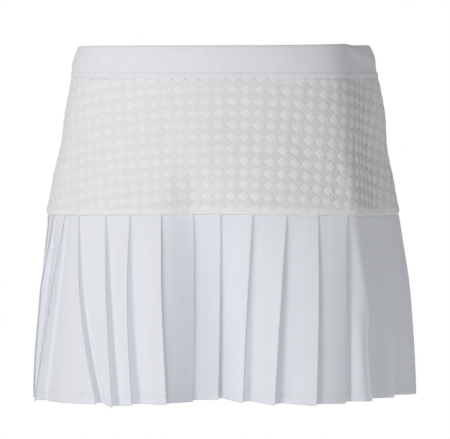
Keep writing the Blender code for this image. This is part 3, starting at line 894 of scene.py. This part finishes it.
# Stitches: short threads laid end to end along a line of points with its outward normals, but
# none where the line turns sharply and a thread would come out short
thread = {"long": 2.3, "apart": 0.5, "thick": 0.32, "shortest": 0.7, "proud": 0.05,
          "abovePleats": 0.06, "shortsProud": 0.08, "colour": (0.76, 0.775, 0.82),
          "roughness": 0.6, "sheen": 0.1}
threadCloth = newMaterial("hemThread", thread["colour"], thread["roughness"], thread["sheen"])[0]


def stitchRows(name, lines):
    bpy.ops.mesh.primitive_ico_sphere_add(subdivisions=1, radius=0.5)
    pattern = bpy.context.object
    shape = np.array([vertex.co for vertex in pattern.data.vertices])
    places = []
    for line, outward in lines:
        along = runAlong(line)
        count = int(along[-1] / (thread["long"] + thread["apart"]))
        middles = (np.arange(count) + 0.5) * (along[-1] / count)
        for middle in middles:
            ends = [np.array([np.interp(middle + reach, along, line[:, k]) for k in range(3)])
                    for reach in (-thread["long"] / 2, thread["long"] / 2)]
            spot = (ends[0] + ends[1]) / 2
            run = ends[1] - ends[0]
            size = np.linalg.norm(run)
            if size < thread["shortest"] * thread["long"]:
                continue
            up = np.array([np.interp(middle, along, outward[:, k]) for k in range(3)])
            run = run / size
            up = up - run * (up @ run)
            up /= np.linalg.norm(up)
            places.append(spot + shape[:, :1] * run * size
                          + shape[:, 1:2] * np.cross(up, run) * thread["thick"]
                          + shape[:, 2:] * up * thread["thick"])
    piece = joinedCopies(name, pattern, np.array(places))
    finishPiece(piece, threadCloth)
    return piece


# A level line moved out of its cloth by proud, with its outward normals
def raisedLine(line, proud):
    outward = np.cross(np.gradient(line, axis=0), (0, 0, 1.0))
    outward /= np.linalg.norm(outward, axis=1)[:, None]
    return line + outward * proud, outward


# Lines at some mm above the hem: on one piece of the skirt, and on one leg of the shorts
def skirtLine(firstPleat, lastPleat, above):
    share = 1 - above / pleatDrop
    line = skirtPoints(share, firstPleat, lastPleat, proud=thread["abovePleats"])[0]
    return raisedLine(line, thread["proud"])


def shortsLine(side, above):
    return raisedLine(shortsRing(shorts["length"] - above, side), thread["shortsProud"])


hemFront = stitchRows("hemStitchesFront", [skirtLine(0, sideSeam, above)
                                           for above in skirt["stitchRows"]])
hemBack = stitchRows("hemStitchesBack", [skirtLine(sideSeam, len(pleats), above)
                                         for above in skirt["stitchRows"]])
shortsHems = stitchRows("shortsHemStitches", [shortsLine(side, above) for side in (1, -1)
                                              for above in shorts["stitchRows"]])
print("skort: stitches")

# Floor, light and camera. From fadeFrom to fadeTo metres out, the floor turns for the camera alone
# into a white glow
studio = {"floorDown": 1.0, "floorSize": 30.0, "fadeFrom": 0.7, "fadeTo": 2.2, "key": 40.0,
          "side": 22.5, "fill": 5.4, "back": 16.0, "sky": 0.26, "fillTint": (0.94, 0.965, 1.0),
          "aim": (0, 0, -0.17), "lens": 331.0, "eye": (0.00135, -4.0, 0.0),
          "eyeAim": (0.00135, 0, -0.168)}
bpy.ops.mesh.primitive_circle_add(vertices=96, radius=studio["floorSize"] / 2, fill_type="NGON",
                                  location=(0, 0, -studio["floorDown"]))
floor = bpy.context.object
floor.name = "studioFloor"
floorPaint = bpy.data.materials.new("studioFloor")
floorPaint.use_nodes = True
nodes = floorPaint.node_tree.nodes
paint = nodes["Principled BSDF"]
paint.inputs["Base Color"].default_value = (0.82, 0.82, 0.82, 1)
paint.inputs["Roughness"].default_value = 0.9
glow = addNode(floorPaint, "Emission", {"Color": (1, 1, 1, 1), "Strength": 1.0})
place = addNode(floorPaint, "TexCoord")
distance = addNode(floorPaint, "VectorMath", operation="LENGTH")
fade = addNode(floorPaint, "MapRange", {"From Min": studio["fadeFrom"],
                                        "From Max": studio["fadeTo"]},
               interpolation_type="SMOOTHSTEP")
rays = addNode(floorPaint, "LightPath")
seen = addNode(floorPaint, "Math", operation="MULTIPLY")
blend = addNode(floorPaint, "MixShader")
join(floorPaint, place, "Object", distance, 0)
join(floorPaint, distance, "Value", fade, "Value")
join(floorPaint, fade, "Result", seen, 0)
join(floorPaint, rays, "Is Camera Ray", seen, 1)
join(floorPaint, seen, "Value", blend, 0)
join(floorPaint, paint, "BSDF", blend, 1)
join(floorPaint, glow, "Emission", blend, 2)
join(floorPaint, blend, "Shader", nodes["Material Output"], "Surface")
floor.data.materials.append(floorPaint)
floor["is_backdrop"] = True

world = bpy.data.worlds.new("studio")
scene.world = world
world.use_nodes = True
sky = world.node_tree.nodes["Background"]
sky.inputs["Color"].default_value = (1, 1, 1, 1)
# The sky is white to the camera and in what shines or lets light through, but a dim light
lightPath = addNode(world, "LightPath")
direct = addNode(world, "Math", operation="MAXIMUM")
either = addNode(world, "Math", operation="MAXIMUM")
strength = addNode(world, "MapRange", {"To Min": studio["sky"], "To Max": 1.0})
join(world, lightPath, "Is Camera Ray", direct, 0)
join(world, lightPath, "Is Glossy Ray", direct, 1)
join(world, direct, "Value", either, 0)
join(world, lightPath, "Is Transmission Ray", either, 1)
join(world, either, "Value", strength, "Value")
join(world, strength, "Result", sky, "Strength")


def turnTowards(item, target):
    item.rotation_euler = (Vector(target) - item.location).to_track_quat("-Z", "Y").to_euler()


def softLight(name, place, target, size, power, colour=(1, 1, 1)):
    bpy.ops.object.light_add(type="AREA", location=place)
    lamp = bpy.context.object
    lamp.name = name
    lamp.data.shape = "SQUARE"
    lamp.data.size = size
    lamp.data.energy = power
    lamp.data.color = colour
    turnTowards(lamp, target)


softLight("keyLight", (-1.73, -2.57, 0.66), studio["aim"], 0.7, studio["key"])
softLight("sideLight", (-2.65, -1.64, 0.6), studio["aim"], 2.6, studio["side"])
softLight("backLight", (0.0, 3.1, 0.9), studio["aim"], 2.4, studio["back"])
softLight("fillLight", (1.2, -0.9, -0.78), (0, 0, -0.2), 0.6, studio["fill"], studio["fillTint"])

bpy.ops.object.camera_add(location=studio["eye"])
camera = bpy.context.object
camera.name = "frontCamera"
camera.data.sensor_width = 36.0
camera.data.lens = studio["lens"]
turnTowards(camera, studio["eyeAim"])
scene.camera = camera
scene.view_settings.view_transform = "Standard"
bpy.ops.object.select_all(action="DESELECT")

triangles = {piece.name: sum(len(face.vertices) - 2 for face in piece.data.polygons)
             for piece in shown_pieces() if piece.type == "MESH"}
print("skort: triangles", sum(triangles.values()), triangles)
